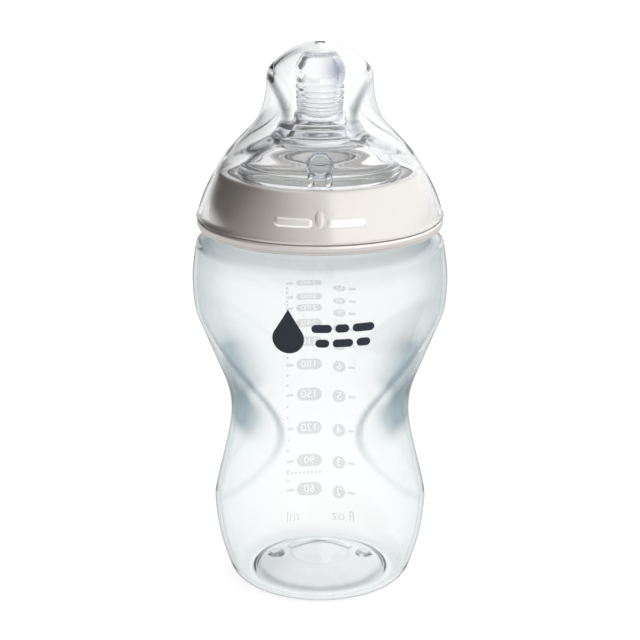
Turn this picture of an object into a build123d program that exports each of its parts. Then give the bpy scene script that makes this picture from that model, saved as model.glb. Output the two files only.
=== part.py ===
from build123d import *
from math import cos, radians, sin
import os

os.makedirs("parts", exist_ok=True)

# A wide-necked feeding bottle standing on its base, in millimetres.
# The origin is the centre of the base on the table, +Z is up, and -Y is the front.
# Outlines are (radius, height) points. Both the container and the cap are bodies of
# revolution cut down on the left and right by a grip, which is a surface of revolution
# about a vertical axis on the far side of the centre line.

# ---------------------------------------------------------------- driving sizes

# Container
wall = 1.3
foot_inner_radius, foot_outer_radius = 22.2, 24.0
base_recess, recess_radius = 1.6, 20.6
gate_disc_radius, gate_disc_rise = 9.7, 0.5
base_dome_rise = 3.0
base_corner_radius, base_corner_turn = 6.5, 67.5
widest_radius = 40.8
barrel_outline = [(33.3, 15), (34.7, 26), (36.7, 58), (39.7, 89), (widest_radius, 101), (40.4, 107.5)]
shoulder_start, shoulder_slope = (39.6, 112.8), (-0.25, 1)
shoulder_edge, shoulder_foot = (39.4, 114.2), (34.6, 117.3)
shoulder_round = 1.0
# How far the inside of the shoulder sits in and down from the outside, as shares of the wall
inner_foot_shift, inner_edge_drop, inner_foot_drop = 0.5, 0.4, 0.8
grip_axis_offset = 15.8
grip_outline = [(39.5, 4), (33.1, 36), (30.3, 48), (28.95, 58.5),
                (30.35, 68), (33.4, 76), (40.1, 92.5), (47, 107)]
# Cutting tools run past the solid they cut by this much
overrun = 1.0
neck_radius, neck_bore_radius = 29.6, 27.6
neck_base, rim_height = 118.2, 133.0

# Single-start right-hand thread between the neck and the collar
thread_pitch = 5.0
thread_turns = 1.5
thread_start = 121.5
thread_root_width, thread_crest_width = 1.9, 1.0
thread_depth = 1.1
running_gap = 0.3

# Screw collar
lip_radius, lip_bottom, lip_top = 39.0, 118.9, 122.3
lip_step = 0.4
collar_wall = 1.5
cone_outline = [(37.45, 122.3), (35.7, 128), (32.9, 134), (31.7, 136.2)]
collar_top, plate_thickness = 137.0, 2.0
opening_radius = 28.9
skirt_bottom = 119.6
skirt_radius = neck_radius + thread_depth + running_gap
top_chamfer = 0.9
web_top, web_count, web_thickness = 129.6, 24, 1.0
web_outline = [(31.5, 130.1), (31.5, 121.6), (36.6, 122.7), (34.6, 130.1)]
mark_height, mark_length, mark_width, mark_centre, mark_relief = 128.2, 11.6, 2.8, 7.9, 0.3
pointer_centre, pointer_height, pointer_width = 129.2, 5.4, 3.0

# Teat
flange_radius, flange_thickness = 30.6, 2.0
seal_lip_radius, seal_lip_depth, seal_lip_chamfer = 27.2, 1.4, 0.5
seat_radius, seat_top, seat_chamfer = 28.6, 136.5, 0.4
dome_foot_radius, dome_foot_top = 24.9, 136.8
dome_outline = [(24.6, 138.4), (23.9, 141.2), (21.5, 144.2), (17, 147.1),
                (13.6, 149.3), (10.3, 152.7), (8.0, 154.8)]
# The wall is thinned where it bends; this is the step in and down from the outer dome
dome_inset = 1.275
inner_foot_height = 134.8
nipple_ribs, rib_growth = 6, 1.16
rib_bottom, rib_top = 155.2, 164.6
rib_root_radius, rib_crest_radius = 6.9, 7.6
bulb_outline = [(7.9, 167.2), (7.1, 170.6), (5.4, 173.2)]
nipple_bore_radius = 5.3
inner_bulb_outline = [(6.2, 167.4), (5.4, 170.4), (3.2, 172.2)]
tip_height, tip_radius = 174.0, 3.4
feed_hole_radius = 0.4
# The air valve is a short barrel on the front of the dome; its face leans back by the tilt
valve_height, valve_reach, valve_tilt = 143.5, 24.2, 25
valve_radius, valve_length = 4.2, 9.0
valve_dish_radius, valve_dish_depth = 3.2, 0.5
valve_slit_length, valve_slit_width, valve_slit_depth = 3.0, 0.3, 0.4
valve_leg_width, valve_leg_height, valve_leg_spacing = 2.0, 6.0, 5.4
valve_leg_back, valve_leg_front = 22.9, 25.6

# Hygienic cap
cap_wall = 1.2
cap_outline = [(39.15, 122.3), (37.4, 128), (34.6, 134), (31.1, 140),
               (29.4, 144), (27.4, 150), (24.2, 158), (20.2, 164)]
cap_edge_height = 122.3
# The crown's inner rim sits in and down by these shares of the wall
crown_shift, crown_drop = 0.8, 0.6
crown_rim_radius, crown_rim_height = 15.8, 169.1
cap_top = 177.0
cap_grip_axis_offset = 18.0
cap_grip_outline = [(46, 124.5), (37, 134), (28.3, 143.5), (23.7, 148.5), (21.3, 151),
                    (18.4, 156), (17.1, 161), (16.6, 167), (16.5, 178)]
gate_mark_radius, gate_mark_depth = 1.5, 0.3

# Ink: the measuring scale on the back wall and the motif on the front wall. Across is
# measured along +X, so the scale reads the right way round from behind.
ink_thickness, ink_root = 0.12, 0.05
scale_heights = [14.9, 25.2, 37.1, 49.3, 60.1, 68.1, 74.4, 79.6, 83.5, 88.4]
ounce_heights = [13.9, 24.5, 36.3, 48.7, 59.3, 66.8, 72.5, 77.9, 82.1, 86.5]
badge_height, badge_shrink_start, badge_shrink_rate = 4.6, 49.3, 0.07
scale_across, scale_badge_length = -3.85, 9.0
ounce_across, ounce_badge_length = 6.8, 4.6
scale_tick_across, ounce_tick_across, tick_length, tick_width = -10.7, 11.4, 2.2, 0.6
dot_across, dot_size, dots_between = -11.6, 0.7, 2
dash_height, dash_count, dash_pitch = 20.8, 9, 1.45
drop_across, drop_height, drop_radius, drop_length = -9.6, 93.4, 4.8, 9.4
bar_rows = [(97.0, -2.6, (6.2, 4.2, 6.6)), (92.2, -1.4, (4.2, 6.2, 4.2))]
bar_width, bar_gap = 2.6, 1.0


# ---------------------------------------------------------------- shared shapes


def inset_points(outline, inset):
    """The outline moved inwards all the way along by inset."""
    return [(radius - inset, height) for radius, height in outline]


def grip_section(outline, axis_offset, inset, bottom, top):
    """Half section, on the +X side, of the solid whose skin is the right-hand grip."""
    points = inset_points(outline, inset)
    with BuildSketch(Plane.XZ) as section:
        with BuildLine():
            skin = Spline(*points)
            Polyline(skin @ 1, ((skin @ 1).X, top), (-axis_offset, top), (-axis_offset, bottom),
                     ((skin @ 0).X, bottom), skin @ 0)
        make_face()
    return section.sketch


def gripped_solid(section, grip, axis_offset):
    """The section turned about the centre line, cut down by a grip on each side."""
    with BuildPart() as solid:
        revolve(section, axis=Axis.Z)
        revolve(grip, axis=Axis((-axis_offset, 0, 0), (0, 0, 1)), mode=Mode.INTERSECT)
        revolve(mirror(grip, about=Plane.YZ, mode=Mode.PRIVATE),
                axis=Axis((axis_offset, 0, 0), (0, 0, 1)), mode=Mode.INTERSECT)
    return solid.part


def thread_ridge(root_radius, crest_radius, start):
    """One screw ridge on a cylinder of root_radius, sunk slightly into its wall."""
    outward = 1 if crest_radius > root_radius else -1
    sunk = root_radius - outward * running_gap
    half_root, half_crest = thread_root_width / 2, thread_crest_width / 2
    with BuildLine() as path:
        Helix(thread_pitch, thread_turns * thread_pitch, sunk, center=(0, 0, start))
    with BuildSketch(Plane(path.line @ 0, x_dir=(1, 0, 0), z_dir=path.line % 0)) as profile:
        with BuildLine():
            Polyline((0, -half_root), (crest_radius - sunk, -half_crest), (crest_radius - sunk, half_crest),
                     (0, half_root), close=True)
        make_face()
    return sweep(profile.sketch, path.line, is_frenet=True)


# ---------------------------------------------------------------- bottle body


def barrel_section(inset, neck, top):
    """Half section of the container, drawn smaller by inset, with a plain neck up to top."""
    corner_radius = base_corner_radius - inset
    corner_end = (foot_outer_radius + corner_radius * sin(radians(base_corner_turn)),
                  base_corner_radius - corner_radius * cos(radians(base_corner_turn)))
    floor = base_recess + inset
    dome_top = floor + base_dome_rise
    disc_top = dome_top + gate_disc_rise
    edge_radius, edge_height = shoulder_edge
    foot_radius, foot_height = shoulder_foot
    with BuildSketch(Plane.XZ) as section:
        with BuildLine():
            Polyline((0, disc_top), (gate_disc_radius, disc_top),
                     (gate_disc_radius + gate_disc_rise, dome_top), (recess_radius - inset, floor),
                     (foot_inner_radius + inset / 2, inset), (foot_outer_radius, inset))
            corner = TangentArc((foot_outer_radius, inset), corner_end, tangent=(1, 0))
            skin = Spline(corner @ 1, *inset_points(barrel_outline + [shoulder_start], inset),
                          tangents=[corner % 1, shoulder_slope])
            shoulder = FilletPolyline(
                skin @ 1, (edge_radius - inset, edge_height - inset * inner_edge_drop),
                (foot_radius - inset * inner_foot_shift, foot_height - inset * inner_foot_drop),
                (neck, neck_base - inset * inner_foot_drop), (neck, top), radius=shoulder_round)
            Polyline(shoulder @ 1, (0, top), (0, disc_top))
        make_face()
    return section.sketch


outer_container = gripped_solid(
    barrel_section(0, neck_radius, rim_height),
    grip_section(grip_outline, grip_axis_offset, 0, -overrun, rim_height + 2 * overrun), grip_axis_offset)
inner_container = gripped_solid(
    barrel_section(wall, neck_bore_radius, rim_height + overrun),
    grip_section(grip_outline, grip_axis_offset, wall, -overrun, rim_height + 2 * overrun), grip_axis_offset)
neck_thread = thread_ridge(neck_radius, neck_radius + thread_depth, thread_start)

with BuildPart() as bottle_body:
    add(outer_container)
    add(neck_thread)
    add(inner_container, mode=Mode.SUBTRACT)

bottle_body.part.label = "bottle_body"
export_step(bottle_body.part, "parts/bottle_body.step")


# ---------------------------------------------------------------- screw collar


def cone_section(inset, bottom, top):
    """Closed half section of the collar's outer cone, drawn smaller by inset."""
    with BuildSketch(Plane.XZ) as section:
        with BuildLine():
            side = Spline(*inset_points(cone_outline, inset))
            Polyline(side @ 1, ((side @ 1).X, top), (0, top), (0, bottom),
                     ((side @ 0).X, bottom), side @ 0)
        make_face()
    return section.sketch


with BuildPart() as collar_marks:
    revolve(cone_section(-mark_relief, lip_bottom, collar_top), axis=Axis.Z)
    with BuildSketch(Plane.XZ) as mark_shapes:
        with Locations((-mark_centre, mark_height), (mark_centre, mark_height)):
            SlotOverall(mark_length, mark_width)
        with Locations((0, pointer_centre)):
            Ellipse(pointer_width / 2, pointer_height / 2)
    extrude(amount=lip_radius, mode=Mode.INTERSECT)
    revolve(cone_section(mark_relief, 0, collar_top + overrun), axis=Axis.Z, mode=Mode.SUBTRACT)

collar_thread = thread_ridge(skirt_radius, skirt_radius - thread_depth, thread_start + thread_pitch / 2)

with BuildPart() as screw_collar:
    with BuildSketch(Plane.XZ) as collar_section:
        with BuildLine():
            cone = Spline(*cone_outline)
            bore = Polyline(
                cone @ 1, ((cone @ 1).X - top_chamfer, collar_top), (opening_radius, collar_top),
                (opening_radius, collar_top - plate_thickness),
                (skirt_radius, collar_top - plate_thickness), (skirt_radius, skirt_bottom),
                (skirt_radius + collar_wall, skirt_bottom))
            gap = Spline(*inset_points(cone_outline[:2], collar_wall),
                         (skirt_radius + collar_wall + top_chamfer, web_top))
            Polyline(bore @ 1, (skirt_radius + collar_wall, web_top), gap @ 1)
            Polyline(gap @ 0, (lip_radius - collar_wall, lip_top - collar_wall),
                     (lip_radius - collar_wall, lip_bottom), (lip_radius - 2 * lip_step, lip_bottom),
                     (lip_radius - lip_step, lip_bottom + lip_step),
                     (lip_radius - lip_step, lip_bottom + 2 * lip_step),
                     (lip_radius, lip_bottom + 3 * lip_step), (lip_radius, lip_top), cone @ 0)
        make_face()
    revolve(axis=Axis.Z)
    with BuildSketch(Plane.XZ) as web_profile:
        with BuildLine():
            Polyline(*web_outline, close=True)
        make_face()
    web = extrude(amount=web_thickness / 2, both=True, mode=Mode.PRIVATE)
    with PolarLocations(0, web_count):
        add(web)
    add(collar_thread)
    add(collar_marks)

screw_collar.part.label = "screw_collar"
export_step(screw_collar.part, "parts/screw_collar.step")

# ---------------------------------------------------------------- teat

# Each rib is a little taller than the one below it
rib_wave = [(rib_root_radius, rib_bottom)]
rib_pitch = (rib_top - rib_bottom) * (rib_growth - 1) / (rib_growth ** nipple_ribs - 1)
for rib in range(nipple_ribs):
    foot = rib_wave[-1][1]
    rib_wave += [(rib_crest_radius, foot + rib_pitch / 2), (rib_root_radius, foot + rib_pitch)]
    rib_pitch *= rib_growth

inner_dome = [(radius - dome_inset, height - dome_inset) for radius, height in dome_outline]
seal_lip_bottom = rim_height - seal_lip_depth
flange_top = rim_height + flange_thickness
tilt = radians(valve_tilt)
valve_plane = Plane((0, -valve_reach, valve_height), x_dir=(1, 0, 0), z_dir=(0, -cos(tilt), sin(tilt)))

with BuildPart() as teat_inside:
    with BuildSketch(Plane.XZ) as inside_section:
        with BuildLine():
            dome = Spline(*inner_dome[:-1], (nipple_bore_radius, rib_bottom))
            nipple = Spline(dome @ 1, (nipple_bore_radius, rib_top), *inner_bulb_outline)
            Polyline(nipple @ 1, (0, (nipple @ 1).Y), (0, seal_lip_bottom - overrun),
                     (dome_foot_radius, seal_lip_bottom - overrun),
                     (dome_foot_radius, inner_foot_height), dome @ 0)
        make_face()
    revolve(axis=Axis.Z)

with BuildPart() as teat:
    with BuildSketch(Plane.XZ) as teat_section:
        with BuildLine():
            foot = Polyline(
                (0, seal_lip_bottom), (seal_lip_radius - seal_lip_chamfer, seal_lip_bottom),
                (seal_lip_radius, seal_lip_bottom + seal_lip_chamfer), (seal_lip_radius, rim_height),
                (flange_radius, rim_height), (flange_radius, flange_top), (seat_radius, flange_top),
                (seat_radius, seat_top - seat_chamfer), (seat_radius - seat_chamfer, seat_top),
                (dome_foot_radius, dome_foot_top), dome_outline[0])
            dome = Spline(*dome_outline)
            Line(dome @ 1, rib_wave[0])
            ribs = Spline(*rib_wave)
            bulb = Spline(ribs @ 1, *bulb_outline, (tip_radius, tip_height), tangents=[ribs % 1, (-1, 0.1)])
            Polyline(bulb @ 1, (0, tip_height), (0, seal_lip_bottom))
        make_face()
    revolve(axis=Axis.Z)
    with BuildSketch(valve_plane) as valve_face:
        Circle(valve_radius)
    extrude(amount=-valve_length)
    with BuildSketch(Plane.XZ.offset(valve_leg_back)) as valve_legs:
        with Locations((0, seat_top + valve_leg_height / 2)):
            with GridLocations(valve_leg_spacing, 0, 2, 1):
                Rectangle(valve_leg_width, valve_leg_height)
    extrude(amount=valve_leg_front - valve_leg_back)
    with BuildSketch(valve_plane) as valve_dish:
        Circle(valve_dish_radius)
    extrude(amount=-valve_dish_depth, mode=Mode.SUBTRACT)
    with BuildSketch(valve_plane.offset(-valve_dish_depth)) as valve_slit:
        Rectangle(valve_slit_length, valve_slit_width)
    extrude(amount=-valve_slit_depth, mode=Mode.SUBTRACT)
    add(teat_inside, mode=Mode.SUBTRACT)
    with BuildSketch(Plane.XY.offset(tip_height)) as feed_hole:
        Circle(feed_hole_radius)
    extrude(amount=2 * (inner_bulb_outline[-1][1] - tip_height), mode=Mode.SUBTRACT)

teat.part.label = "teat"
export_step(teat.part, "parts/teat.step")

# ---------------------------------------------------------------- hygienic cap


def cap_section(inset, bottom):
    """Half section of the cap's ogive and its domed crown, drawn smaller by inset."""
    with BuildSketch(Plane.XZ) as section:
        with BuildLine():
            crown_rim = (crown_rim_radius - inset * crown_shift, crown_rim_height - inset * crown_drop)
            side = Spline(*inset_points(cap_outline, inset), crown_rim)
            TangentArc((0, cap_top - inset), side @ 1, tangent=(1, 0))
            Polyline((0, cap_top - inset), (0, bottom), ((side @ 0).X, bottom))
            if bottom < cap_edge_height:
                Line(((side @ 0).X, bottom), side @ 0)
        make_face()
    return section.sketch


cap_grip_span = (cap_edge_height - 2 * overrun, cap_top + 2 * overrun)
outer_cap = gripped_solid(
    cap_section(0, cap_edge_height),
    grip_section(cap_grip_outline, cap_grip_axis_offset, 0, *cap_grip_span), cap_grip_axis_offset)
inner_cap = gripped_solid(
    cap_section(cap_wall, cap_edge_height - overrun),
    grip_section(cap_grip_outline, cap_grip_axis_offset, cap_wall, *cap_grip_span), cap_grip_axis_offset)

with BuildPart() as hygienic_cap:
    add(outer_cap)
    add(inner_cap, mode=Mode.SUBTRACT)
    with BuildSketch(Plane.XY.offset(cap_top)) as gate_mark:
        Circle(gate_mark_radius)
    extrude(amount=-gate_mark_depth, mode=Mode.SUBTRACT)

hygienic_cap.part.label = "hygienic_cap"
export_step(hygienic_cap.part, "parts/hygienic_cap.step")


# ---------------------------------------------------------------- ink


def ink_film(shapes, front):
    """The shapes laid as a thin film on the front or the back of the barrel."""
    outward = (0, -1, 0) if front else (0, 1, 0)
    with BuildPart() as film:
        extrude(shapes, amount=widest_radius + overrun, dir=outward)
        revolve(barrel_section(-ink_thickness, neck_radius, rim_height), axis=Axis.Z, mode=Mode.INTERSECT)
        revolve(barrel_section(ink_root, neck_radius, rim_height), axis=Axis.Z, mode=Mode.SUBTRACT)
    return film.part


def badge_size(height):
    """Height of the badge printed beside the mark at a height: the upper marks are closer together."""
    return badge_height - badge_shrink_rate * max(0, height - badge_shrink_start)


with BuildSketch(Plane.XZ) as scale_shapes:
    for height in scale_heights:
        with Locations((scale_across, height)):
            SlotOverall(scale_badge_length, badge_size(height))
        with Locations((scale_tick_across, height)):
            Rectangle(tick_length, tick_width)
    for height in ounce_heights:
        with Locations((ounce_across, height)):
            Ellipse(ounce_badge_length / 2, badge_size(height) / 2)
        with Locations((ounce_tick_across, height)):
            Rectangle(tick_length, tick_width)
    for low, high in zip(scale_heights, scale_heights[1:]):
        for step in range(1, dots_between + 1):
            with Locations((dot_across, low + (high - low) * step / (dots_between + 1))):
                Rectangle(dot_size, dot_size)
    for step in range(dash_count):
        with Locations((dot_across + dash_pitch * step, dash_height)):
            Rectangle(dot_size, dot_size)

with BuildSketch(Plane.XZ) as motif_shapes:
    with Locations((drop_across, drop_height)):
        Circle(drop_radius)
    with BuildLine():
        lean = drop_radius / drop_length
        shoulder_across = drop_radius * (1 - lean ** 2) ** 0.5
        Polyline((drop_across - shoulder_across, drop_height + drop_radius * lean),
                 (drop_across, drop_height + drop_length),
                 (drop_across + shoulder_across, drop_height + drop_radius * lean), close=True)
    make_face()
    for height, across, lengths in bar_rows:
        for length in lengths:
            with Locations((across + length / 2, height)):
                SlotOverall(length, bar_width)
            across += length + bar_gap

with BuildPart() as graduation_print:
    add(ink_film(scale_shapes.sketch, front=False))

graduation_print.part.label = "graduation_print"
export_step(graduation_print.part, "parts/graduation_print.step")

with BuildPart() as front_print:
    add(ink_film(motif_shapes.sketch, front=True))

front_print.part.label = "front_print"
export_step(front_print.part, "parts/front_print.step")
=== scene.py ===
from math import atan2, cos, pi, radians, sin, sqrt, tau

import bmesh
import bpy
import numpy as np
from mathutils import Matrix, Vector
from mathutils.geometry import delaunay_2d_cdt, interpolate_bezier


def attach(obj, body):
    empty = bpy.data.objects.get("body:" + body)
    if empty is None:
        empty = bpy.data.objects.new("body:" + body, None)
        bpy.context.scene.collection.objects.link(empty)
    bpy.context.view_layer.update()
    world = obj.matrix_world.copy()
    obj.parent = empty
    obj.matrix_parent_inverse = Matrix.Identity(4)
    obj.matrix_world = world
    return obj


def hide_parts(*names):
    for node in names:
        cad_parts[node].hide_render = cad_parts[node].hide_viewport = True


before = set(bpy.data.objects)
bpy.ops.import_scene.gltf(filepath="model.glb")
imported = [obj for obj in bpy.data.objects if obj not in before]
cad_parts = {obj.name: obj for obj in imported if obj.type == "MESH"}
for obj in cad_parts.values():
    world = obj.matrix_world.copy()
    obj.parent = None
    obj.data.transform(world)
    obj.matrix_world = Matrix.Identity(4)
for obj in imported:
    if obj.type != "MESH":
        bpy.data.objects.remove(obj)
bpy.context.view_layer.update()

# A baby bottle on a pale floor. Lengths are in millimetres, as in the CAD model, and
# meshes are written in metres. Outlines are (radius, height) points.

MM = 0.001

# ---------------------------------------------------------------- sizes

# Container
WALL = 1.3
FOOT_INNER, FOOT_OUTER = 22.2, 24.0
BASE_RECESS, RECESS_RADIUS = 1.6, 20.6
GATE_DISC, GATE_RISE, GATE_RISE_INSIDE, GATE_SLOPE, BASE_DOME = 9.7, 0.5, 0.1, 1.4, 3.0
LEAF_ACROSS, LEAF_BACK, LEAF_LENGTH, LEAF_WIDTH = 14.8, 3.0, 6.0, 6.0
CORNER_RADIUS, CORNER_TURN = 6.5, radians(67.5)
BARREL_POINTS = [(30.0, 4.0), (33.3, 15), (34.7, 26), (36.7, 58), (39.7, 89), (40.8, 101),
                 (40.4, 107.5), (39.6, 112.8)]
SHOULDER_EDGE, SHOULDER_FOOT = (39.4, 114.2), (34.6, 117.3)
GRIP_OFFSET = 15.8
GRIP_POINTS = [(39.5, 4), (33.1, 36), (30.3, 48), (28.95, 58.5), (30.35, 68), (33.4, 76),
               (40.1, 92.5), (47, 107)]
RIDGE_BLEND, RIDGE_BLEND_INSIDE = 0.5, 0.6
NECK, NECK_BORE, NECK_BASE, RIM = 29.6, 27.6, 118.2, 133.0

# Screw thread
PITCH, TURNS, THREAD_START = 5.0, 1.5, 121.5
THREAD_ROOT, THREAD_CREST, THREAD_DEPTH = 1.9, 1.0, 1.1
THREAD_RUNOUT = radians(30)

# Collar
CONE_POINTS = [(37.45, 122.3), (35.7, 128), (32.9, 134), (31.7, 136.2)]
COLLAR_TOP, PLATE, OPENING = 137.0, 2.0, 28.9
COLLAR_WALL, SKIRT_RADIUS, SKIRT_BOTTOM = 1.5, 31.0, 119.6
LIP_RADIUS, LIP_BOTTOM, LIP_TOP, LIP_STEP = 39.0, 118.9, 122.3, 0.4
WEB_TOP, WEB_COUNT, WEB_THICKNESS = 129.6, 24, 1.0
MARK_HEIGHT, MARK_LENGTH, MARK_WIDTH, MARK_CENTRE, MARK_RELIEF = 128.2, 11.6, 2.8, 7.9, 0.33
POINTER_CENTRE, POINTER_HEIGHT, POINTER_WIDTH = 129.2, 5.4, 3.0
WEB_OUTLINE = [(31.5, 130.1), (31.5, 121.6), (36.6, 122.7), (34.6, 130.1)]

# Teat
FLANGE, FLANGE_THICK = 30.6, 2.0
SEAL_RADIUS, SEAL_DEPTH = 27.2, 1.4
SEAT_RADIUS, SEAT_TOP = 28.6, 136.5
DOME_FOOT = 24.9
LEDGE_RADIUS, LEDGE_HEIGHT = 25.4, 139.9
DOME_POINTS = [(24.0, 140.2), (23.6, 141.2), (21.6, 144.0), (17.5, 146.6)]
TERRACES = [(17.5, 146.6), (15.0, 147.0, 0.3), (14.6, 148.8, 0.4), (13.2, 149.3, 0.3),
            (12.9, 151.4, 0.4), (10.1, 152.3, 0.3), (9.8, 154.0, 0.4), (8.0, 154.8, 0.3), (6.9, 155.2)]
RIB_COUNT, RIB_GROWTH, RIB_BOTTOM, RIB_TOP = 6, 1.16, 155.2, 164.6
RIB_ROOT, RIB_CREST = 6.9, 7.6
BULB_POINTS = [(RIB_ROOT, RIB_TOP), (7.7, 166.2), (7.9, 167.6), (7.1, 170.8), (5.6, 173.0)]
TIP_HEIGHT, TIP_FLAT, TIP_INSIDE, FEED_HOLE = 174.0, 5.0, 172.2, 0.4
TEAT_INSIDE_POINTS = [(22.9, 137.0), (22.5, 140.0), (20.2, 142.9), (15.7, 145.8), (12.3, 148.0),
                      (9.0, 151.4), (6.3, 154.2), (5.4, 157), (5.3, 162), (5.9, 166.5), (5.9, 168.5),
                      (4.6, 171.4)]
TEAT_INSIDE_FOOT = [(23.6, 135.6), (DOME_FOOT, 134.8), (DOME_FOOT, 133.5)]
VALVE_HEIGHT, VALVE_REACH, VALVE_TILT = 143.5, 24.2, radians(25)
VALVE_RADIUS, VALVE_LENGTH = 4.2, 3.6
DISH_RADIUS, DISH_DEPTH = 3.2, 0.5
SLIT_LENGTH, SLIT_WIDTH = 3.0, 0.3
LEG_WIDTH, LEG_HEIGHT, LEG_SPACING, LEG_BACK, LEG_FRONT = 2.0, 4.6, 5.4, 23.9, 25.6

# Cap
CAP_WALL = 1.2
CROWN_RIM, CROWN_RIM_HEIGHT, CAP_TOP = 15.8, 169.1, 177.0
CAP_POINTS = [(39.15, 122.3), (37.4, 128), (34.6, 134), (31.1, 140), (29.4, 144), (27.4, 150),
              (24.2, 158), (20.2, 164), (CROWN_RIM, CROWN_RIM_HEIGHT)]
CAP_GRIP_OFFSET = 18.0
CAP_GRIP_POINTS = [(46, 124.5), (37, 134), (28.3, 143.5), (23.7, 148.5), (21.3, 151), (18.4, 156),
                   (17.1, 161), (16.6, 167), (16.5, 178)]
CAP_RIDGE_BLEND, CAP_RIDGE_BLEND_INSIDE = 1.0, 2.0
GATE_MARK, GATE_MARK_DEPTH = 1.5, 0.3
CAP_LIFT, CAP_ROUNDING = 0.05, 0.55

# Print: what is written in each badge on the back wall, and its height
INK_LIFT = 0.1
SCALE_MARKS = {60: 14.9, 90: 25.2, 120: 37.1, 150: 49.3, 180: 60.1, 210: 68.1, 240: 74.4,
               270: 79.6, 300: 83.5, 340: 88.4}
OUNCE_MARKS = {2: 13.9, 3: 24.5, 4: 36.3, 5: 48.7, 6: 59.3, 7: 66.8, 8: 72.5, 9: 77.9,
               10: 82.1, 11: 86.5}
BADGE_HEIGHT, BADGE_SHRINK_START, BADGE_SHRINK_RATE = 4.6, 49.3, 0.07
SCALE_ACROSS, SCALE_BADGE = -3.85, 9.0
OUNCE_ACROSS, OUNCE_BADGE = 6.8, 4.6
SCALE_TICK, OUNCE_TICK, TICK_LENGTH, TICK_WIDTH = -10.7, 11.3, 2.5, 0.85
DOT_ACROSS, DOT_SIZE, DOTS_BETWEEN = -11.6, 1.0, 2
DASH_HEIGHT, DASH_COUNT, DASH_PITCH = 20.8, 9, 1.45
UNITS = [("ml", -9.8), ("fl oz", 8.4)]
UNIT_HEIGHT, UNIT_SIZE, TEXT_SIZE = 5.9, 4.9, 4.0
NARROW_NUMERALS = {10: 0.66, 11: 0.66}

# How deep the painted shade on the clear pieces is: each band's middle, spread and strength. Most bands
# go by height, FOOT_BAND and DISC_BAND by radius, and the edge lines by how deep a grip is cut there.
UPPER_EDGE_BAND, UPPER_EDGE_LINE = (71, 16, 0.6), (-0.1, 0.42)
LOWER_EDGE_BAND, LOWER_EDGE_LINE = (38, 16, 0.13), (0, 0.4)
SHOULDER_BAND, UNDER_SHOULDER_BAND = (115.6, 1.8, 0.33), (112, 3, 0.12)
FOOT_BAND, DISC_BAND = (20.4, 0.9, 0.5), (GATE_DISC, 0.45, 0.16)
WALL_SHADE, WALL_SHADE_FROM, WALL_SHADE_RISE = 0.068, 25, 50
IN_GRIP_BAND, IN_GRIP_FROM, ABOVE_GRIP_BAND = (67, 12, 1.6), 52, (100, 18, 0.3)
CAP_EDGE_LINE, CAP_CROWN_BAND, CAP_SIDE_BAND = (0.3, 0.85), (161, 8, 0.95), (145, 9, 0.2)
GROOVE_SHADE, BULB_BAND, BULB_SIDE = 0.7, (169, 3.8), 0.45
TERRACE_SHADE, TERRACE_MIDDLE, TERRACE_REACH = 0.22, (12.3, 150.6), (2.8, 3.9)
DISH_SHADE, VALVE_RIM_SHADE = 0.2, 0.6

# Where the painted edge shade starts and where it is full, from face-on (0) to edge-on (1)
EDGE_ON = (0.25, 0.7)

SEGMENTS = 192


# ---------------------------------------------------------------- curves and lathe


def smooth_curve(points):
    """A natural cubic through (radius, height) points, as a function from height to radius."""
    values, heights = np.array(points, float).T
    count, gaps = len(heights), np.diff(heights)
    slopes = np.diff(values) / gaps
    system, right = np.eye(count), np.zeros(count)
    for i in range(1, count - 1):
        system[i, i - 1:i + 2] = gaps[i - 1], 2 * (gaps[i - 1] + gaps[i]), gaps[i]
        right[i] = 6 * (slopes[i] - slopes[i - 1])
    bends = np.linalg.solve(system, right)

    def value(height):
        height = np.clip(height, heights[0], heights[-1])
        i = np.clip(np.searchsorted(heights, height) - 1, 0, count - 2)
        t, gap = height - heights[i], gaps[i]
        slope = slopes[i] - gap * (2 * bends[i] + bends[i + 1]) / 6
        change = t ** 3 * (bends[i + 1] - bends[i]) / (6 * gap)
        return values[i] + t * slope + t ** 2 * bends[i] / 2 + change

    return value


def rounded(*corners, steps=5):
    """Points along straight runs between (radius, height, rounding) corners, each one rounded."""
    points = []
    for i, corner in enumerate(corners):
        here, rounding = np.array(corner[:2], float), corner[2] if len(corner) > 2 else 0
        if not rounding or i in (0, len(corners) - 1):
            points.append(tuple(here))
            continue
        before = np.array(corners[i - 1][:2], float) - here
        after = np.array(corners[i + 1][:2], float) - here
        start = here + before / np.linalg.norm(before) * rounding
        end = here + after / np.linalg.norm(after) * rounding
        for t in np.linspace(0, 1, steps):
            points.append(tuple((1 - t) ** 2 * start + 2 * t * (1 - t) * here + t ** 2 * end))
    return points


def arc(centre, radius, start, end, steps):
    """Points on an arc in the section plane; angles are counted from the +radius direction."""
    angles = np.linspace(start, end, steps)
    return [(centre[0] + radius * cos(a), centre[1] + radius * sin(a)) for a in angles]


def soft_min(a, b, blend):
    """The smaller of two distances, with the ridge where they meet rounded over blend."""
    overlap = np.maximum(blend - np.abs(a - b), 0) / blend
    return np.minimum(a, b) - overlap ** 2 * blend / 4


def grip_distance(theta, skin, offset):
    """How far from the centre line a grip lies, at an angle: it turns about an axis on the far side."""
    across = offset * np.abs(np.cos(theta))
    return -across + np.sqrt(across ** 2 + skin ** 2 + 2 * skin * offset)


def thread_bump(theta, height, start):
    """0 to 1: how far the screw ridge stands out at an angle and a height."""
    bump = np.zeros(np.broadcast(theta, height).shape)
    for turn in range(int(TURNS) + 1):
        angle = theta + tau * turn
        runout = np.clip(np.minimum(angle, TURNS * tau - angle) / THREAD_RUNOUT, 0, 1)
        off_centre = np.abs(height - (start + PITCH * angle / tau))
        flank = np.clip((THREAD_ROOT / 2 - off_centre) / (THREAD_ROOT - THREAD_CREST) * 2, 0, 1)
        bump = np.maximum(bump, runout * flank)
    return bump


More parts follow.
